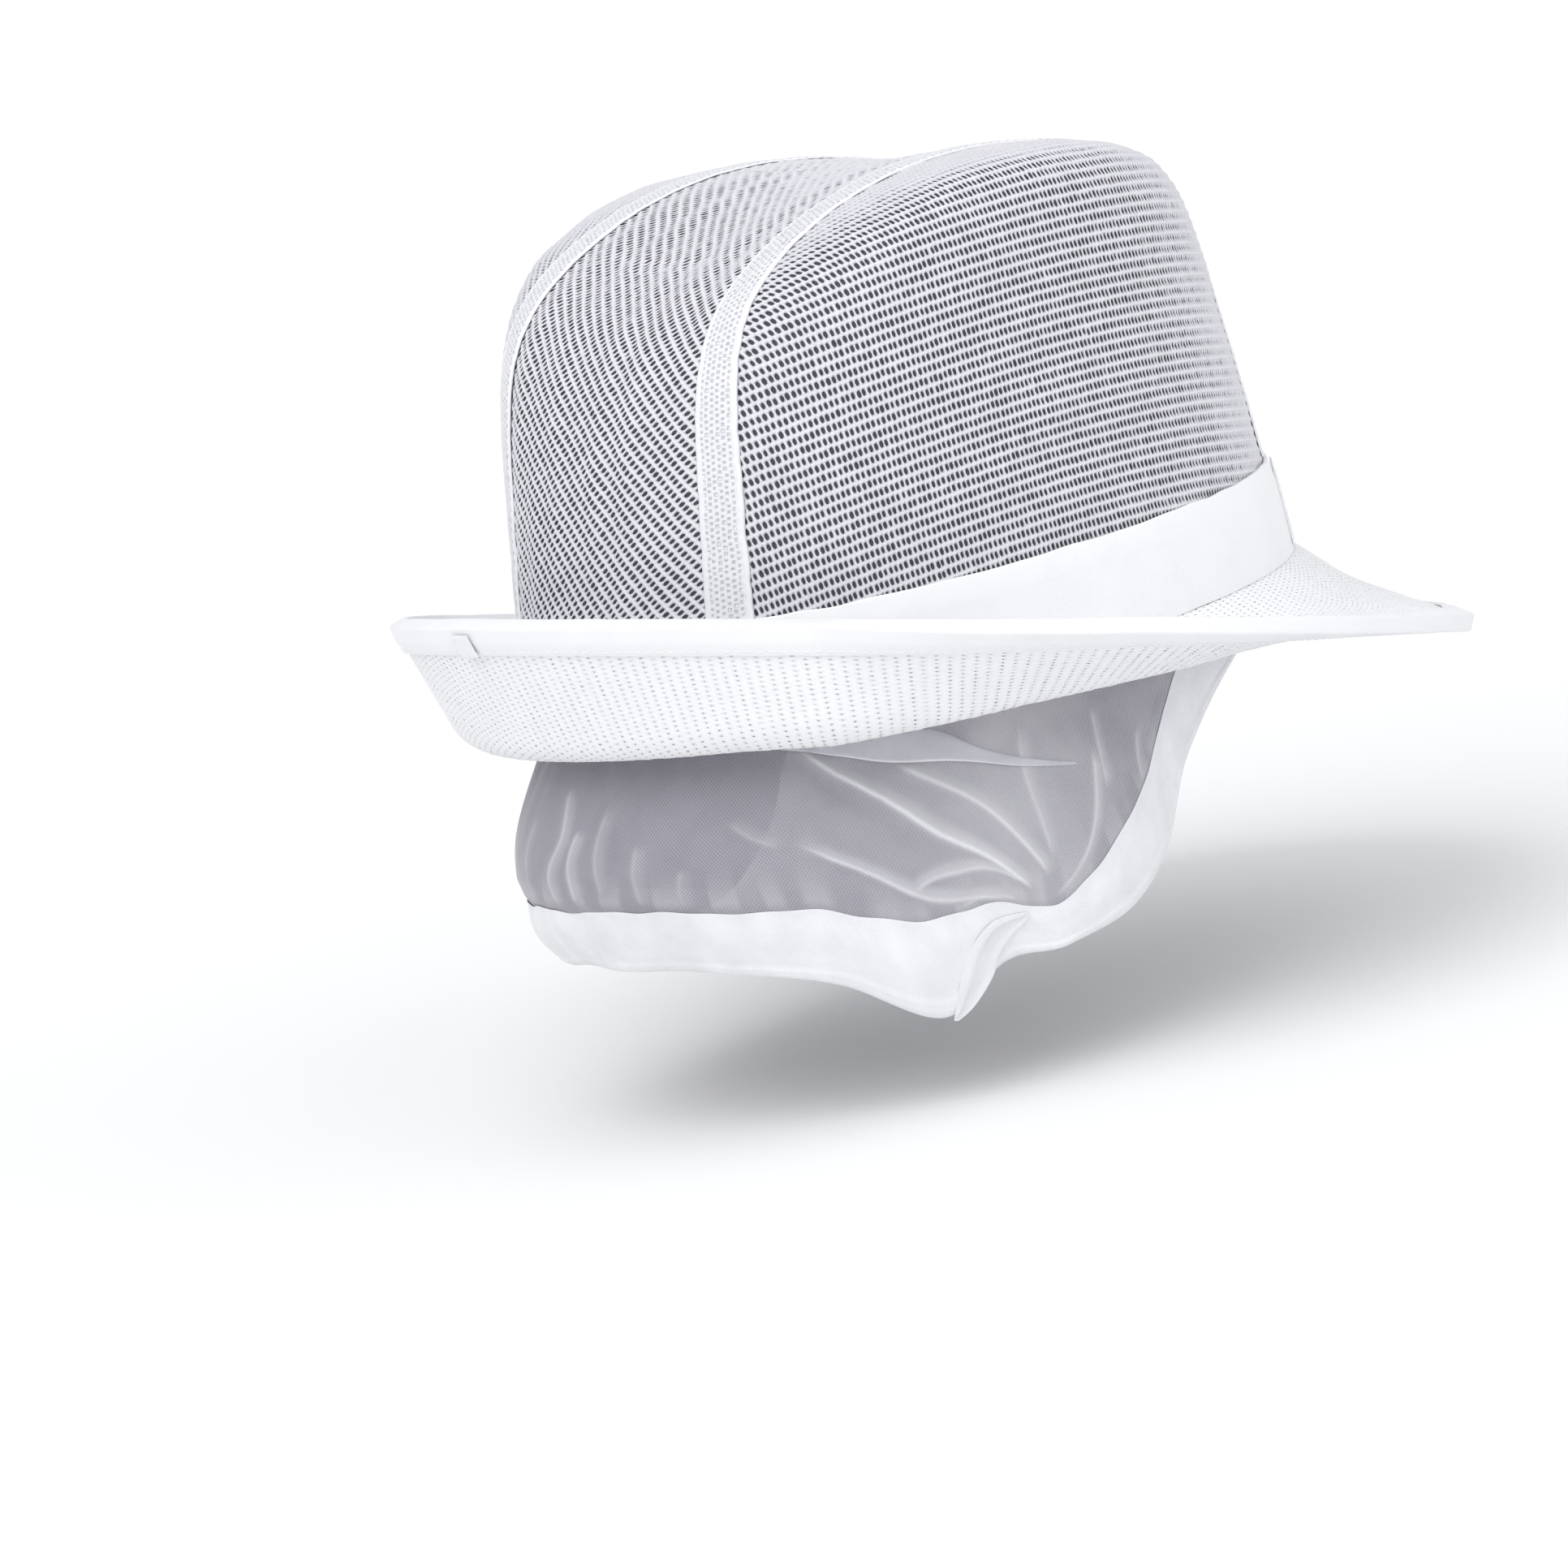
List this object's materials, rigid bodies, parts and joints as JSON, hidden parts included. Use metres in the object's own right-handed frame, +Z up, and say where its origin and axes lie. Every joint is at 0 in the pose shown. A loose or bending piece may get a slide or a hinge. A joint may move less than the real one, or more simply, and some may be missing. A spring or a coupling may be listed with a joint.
{
  "type": "food hygiene trilby hat with snood",
  "caption": "Soft mesh trilby with turned-up stiffened brim, hat band and sweatband, and a sheer hanging hair net ending in an elasticated hem round the nape and ears.",
  "frame": {"origin": "centre of the head opening, on the plane where the crown meets the brim", "axes": "+Z up through the crown, -Y towards the front of the hat, +X towards the wearer's left"},
  "size_m": [0.2694, 0.2856, 0.2024],
  "materials": {
    "crown_side_panel_right": "open-hole polyester mesh",
    "crown_side_panel_left": "open-hole polyester mesh",
    "crown_centre_panel": "open-hole polyester mesh",
    "seam_tape_right": "doubled mesh strip",
    "seam_tape_left": "doubled mesh strip",
    "hat_band": "plain weave",
    "hat_band_join": "plain weave",
    "sweatband": "plain weave, soft",
    "brim_upper": "fine mesh over backing",
    "brim_interlining": "stiff felt",
    "brim_lower": "fine mesh over backing",
    "brim_edge_binding": "plain weave tape",
    "brim_binding_join": "plain weave tape",
    "snood_top_band": "plain weave tape",
    "snood_net": "sheer fine knitted net",
    "snood_hem_casing": "doubled sheer net",
    "snood_elastic": "woven elastic",
    "snood_tack_right": "close stitching",
    "snood_tack_left": "close stitching"
  },
  "bodies": {
    "hat": {"crown_side_panel_right": "crown_side_panel_right", "crown_side_panel_left": "crown_side_panel_left", "crown_centre_panel": "crown_centre_panel", "seam_tape_right": "seam_tape_right", "seam_tape_left": "seam_tape_left", "hat_band": "hat_band", "hat_band_join": "hat_band_join", "sweatband": "sweatband", "brim_upper": "brim_upper", "brim_interlining": "brim_interlining", "brim_lower": "brim_lower", "brim_edge_binding": "brim_edge_binding", "brim_binding_join": "brim_binding_join", "snood_top_band": "snood_top_band", "snood_net": "snood_net", "snood_tack_right": "snood_tack_right", "snood_tack_left": "snood_tack_left"},
    "snood_hem": {"snood_hem_casing": "snood_hem_casing", "snood_elastic": "snood_elastic"}
  },
  "joints": [
    {"name": "snood_hem_lift", "type": "hinge", "parent": "hat", "child": "snood_hem", "pos_m": [0, -0.04407, -0.0066], "axis": [1, 0, 0], "range_deg": [-12, 10], "stiffness_Nm_per_rad": 0.4, "deforming": ["snood_net"]}
  ]
}
